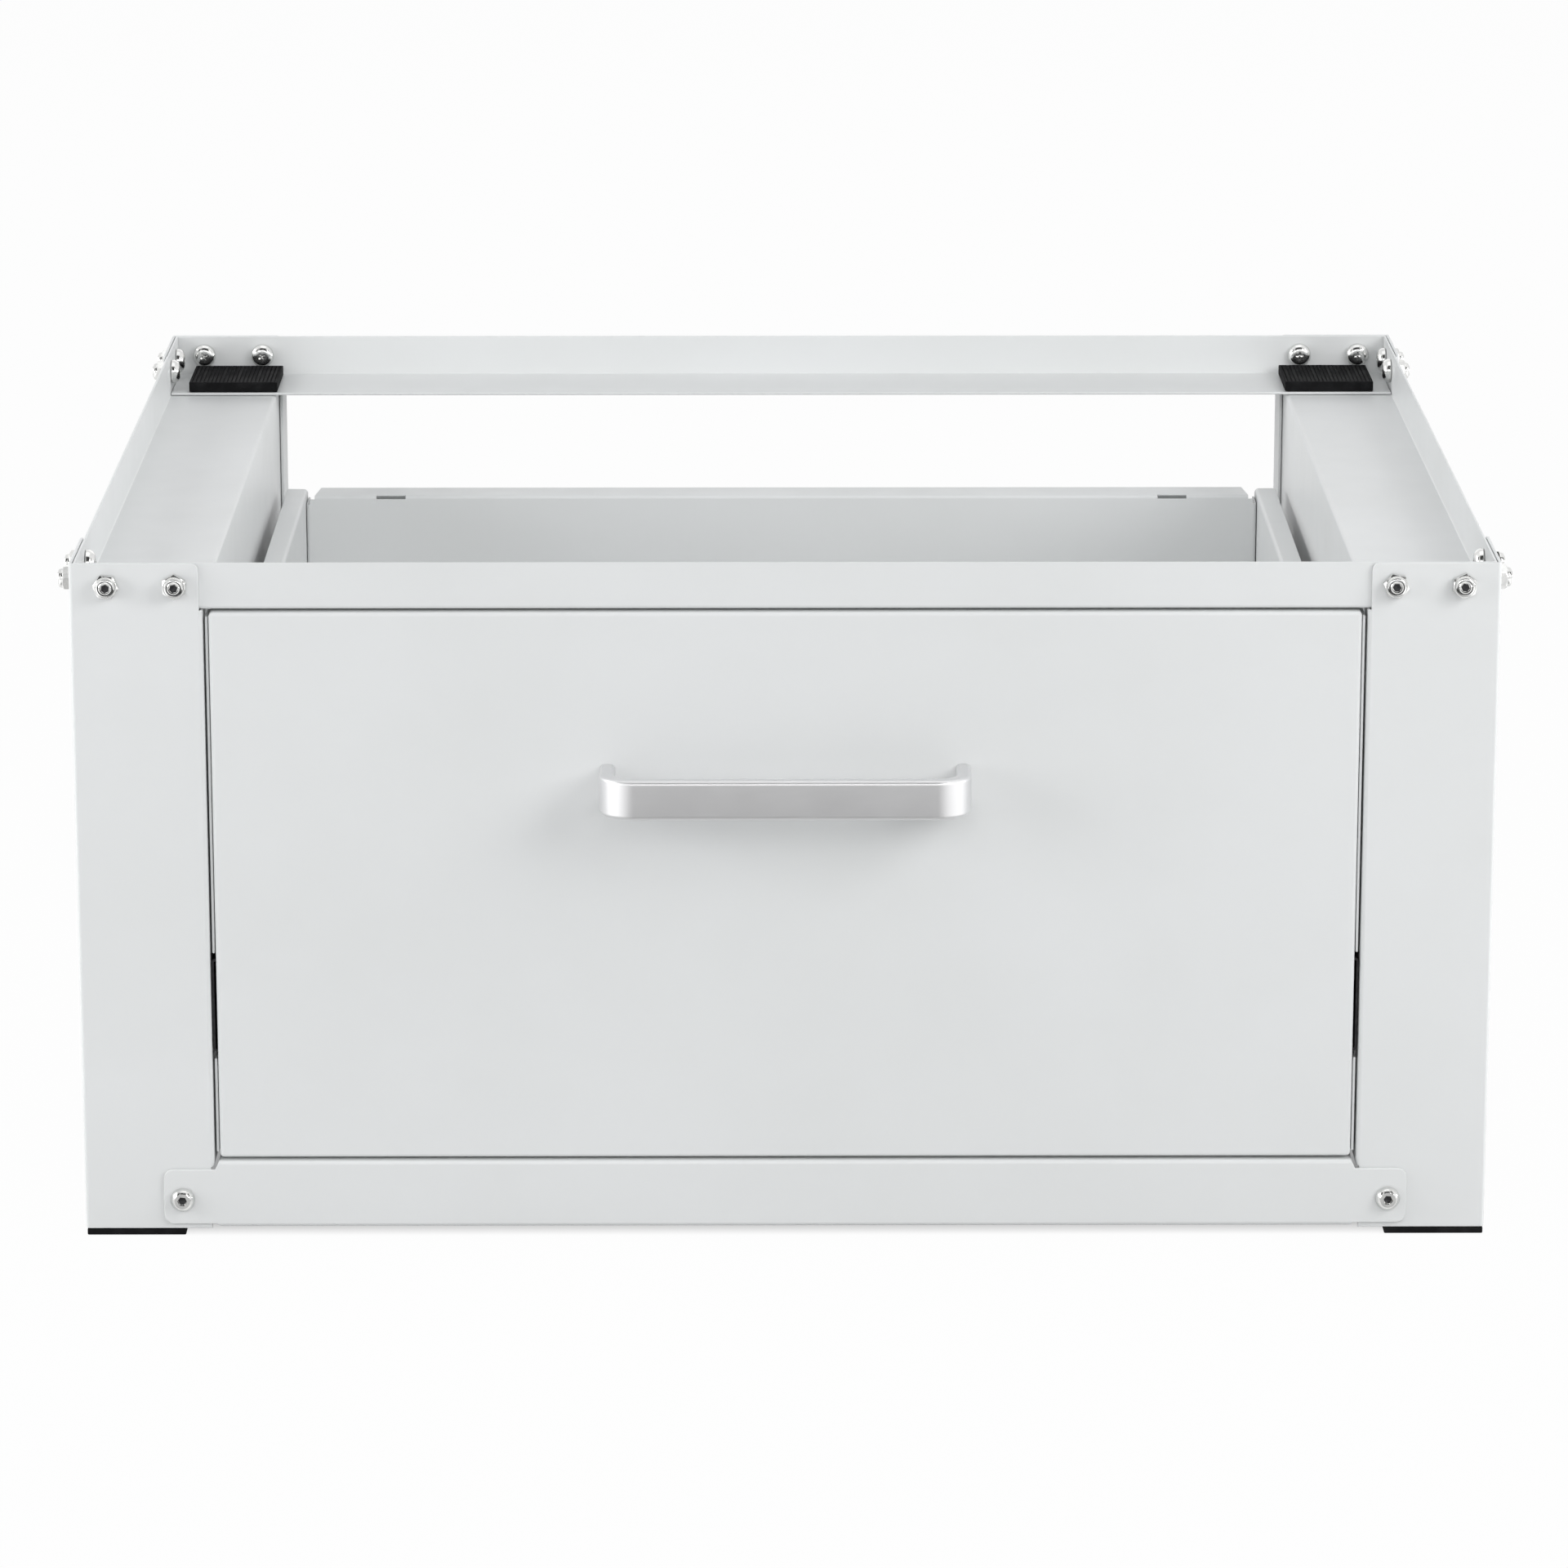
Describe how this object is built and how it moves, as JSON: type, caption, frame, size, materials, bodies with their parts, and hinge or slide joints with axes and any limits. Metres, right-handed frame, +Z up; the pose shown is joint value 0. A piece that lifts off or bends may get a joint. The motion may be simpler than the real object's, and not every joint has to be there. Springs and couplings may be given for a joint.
{
  "type": "washing machine pedestal",
  "caption": "Folded sheet steel pedestal that raises a washing machine, with a lipped top frame, rubber pads and a full-width drawer on telescopic ball runners.",
  "frame": {"origin": "middle of the part's outline in plan, at the bottom of the rubber feet", "axes": "+X to the right seen from the front, +Y to the rear, +Z up; the drawer opens towards -Y"},
  "size_m": [0.6426, 0.5774, 0.31],
  "materials": {
    "white_enamel": "white powder coat, satin",
    "black_rubber": "matt black rubber",
    "bright_zinc": "bright zinc plate",
    "black_runner": "black coated steel",
    "satin_aluminium": "satin"
  },
  "bodies": {
    "frame": {"post_front_left": "white_enamel", "post_front_right": "white_enamel", "post_rear_left": "white_enamel", "post_rear_right": "white_enamel", "top_rail_front": "white_enamel", "top_rail_rear": "white_enamel", "side_rail_left": "white_enamel", "side_rail_right": "white_enamel", "bottom_rail_front": "white_enamel", "bottom_rail_rear": "white_enamel", "foot_front_left": "black_rubber", "foot_front_right": "black_rubber", "foot_rear_left": "black_rubber", "foot_rear_right": "black_rubber", "machine_pad_front_left": "black_rubber", "machine_pad_front_right": "black_rubber", "machine_pad_rear_left": "black_rubber", "machine_pad_rear_right": "black_rubber", "top_bolt_front_left_1": "bright_zinc", "top_bolt_front_left_2": "bright_zinc", "top_bolt_front_left_3": "bright_zinc", "top_bolt_front_left_4": "bright_zinc", "top_bolt_front_right_1": "bright_zinc", "top_bolt_front_right_2": "bright_zinc", "top_bolt_front_right_3": "bright_zinc", "top_bolt_front_right_4": "bright_zinc", "top_bolt_rear_left_1": "bright_zinc", "top_bolt_rear_left_2": "bright_zinc", "top_bolt_rear_left_3": "bright_zinc", "top_bolt_rear_left_4": "bright_zinc", "top_bolt_rear_right_1": "bright_zinc", "top_bolt_rear_right_2": "bright_zinc", "top_bolt_rear_right_3": "bright_zinc", "top_bolt_rear_right_4": "bright_zinc", "bottom_rail_screw_front_left": "bright_zinc", "bottom_rail_screw_front_right": "bright_zinc", "bottom_rail_screw_rear_left": "bright_zinc", "bottom_rail_screw_rear_right": "bright_zinc", "runner_left_cabinet_member": "black_runner", "runner_right_cabinet_member": "black_runner"},
    "drawer": {"drawer_front": "white_enamel", "drawer_side_left": "white_enamel", "drawer_side_right": "white_enamel", "drawer_back": "white_enamel", "drawer_floor": "white_enamel", "handle": "satin_aluminium", "handle_screw_left": "bright_zinc", "handle_screw_right": "bright_zinc", "runner_left_drawer_member": "black_runner", "runner_right_drawer_member": "black_runner"},
    "middle_left": {"runner_left_middle_member": "black_runner"},
    "cage_left_outer": {"runner_left_outer_cage": "bright_zinc"},
    "cage_left_inner": {"runner_left_inner_cage": "bright_zinc"},
    "middle_right": {"runner_right_middle_member": "black_runner"},
    "cage_right_outer": {"runner_right_outer_cage": "bright_zinc"},
    "cage_right_inner": {"runner_right_inner_cage": "bright_zinc"}
  },
  "joints": [
    {"name": "drawer_slide", "type": "slide", "parent": "frame", "child": "drawer", "axis": [0, -1, 0], "range_m": [0, 0.45]},
    {"name": "middle_left_slide", "type": "slide", "parent": "frame", "child": "middle_left", "axis": [0, -1, 0], "range_m": [0, 0.225]},
    {"name": "cage_left_outer_slide", "type": "slide", "parent": "frame", "child": "cage_left_outer", "axis": [0, -1, 0], "range_m": [0, 0.1125]},
    {"name": "cage_left_inner_slide", "type": "slide", "parent": "frame", "child": "cage_left_inner", "axis": [0, -1, 0], "range_m": [0, 0.3375]},
    {"name": "middle_right_slide", "type": "slide", "parent": "frame", "child": "middle_right", "axis": [0, -1, 0], "range_m": [0, 0.225]},
    {"name": "cage_right_outer_slide", "type": "slide", "parent": "frame", "child": "cage_right_outer", "axis": [0, -1, 0], "range_m": [0, 0.1125]},
    {"name": "cage_right_inner_slide", "type": "slide", "parent": "frame", "child": "cage_right_inner", "axis": [0, -1, 0], "range_m": [0, 0.3375]}
  ],
  "couplings": [
    {"joint": "middle_left_slide", "follows": "drawer_slide", "ratio": 0.5},
    {"joint": "cage_left_outer_slide", "follows": "drawer_slide", "ratio": 0.25},
    {"joint": "cage_left_inner_slide", "follows": "drawer_slide", "ratio": 0.75},
    {"joint": "middle_right_slide", "follows": "drawer_slide", "ratio": 0.5},
    {"joint": "cage_right_outer_slide", "follows": "drawer_slide", "ratio": 0.25},
    {"joint": "cage_right_inner_slide", "follows": "drawer_slide", "ratio": 0.75}
  ]
}
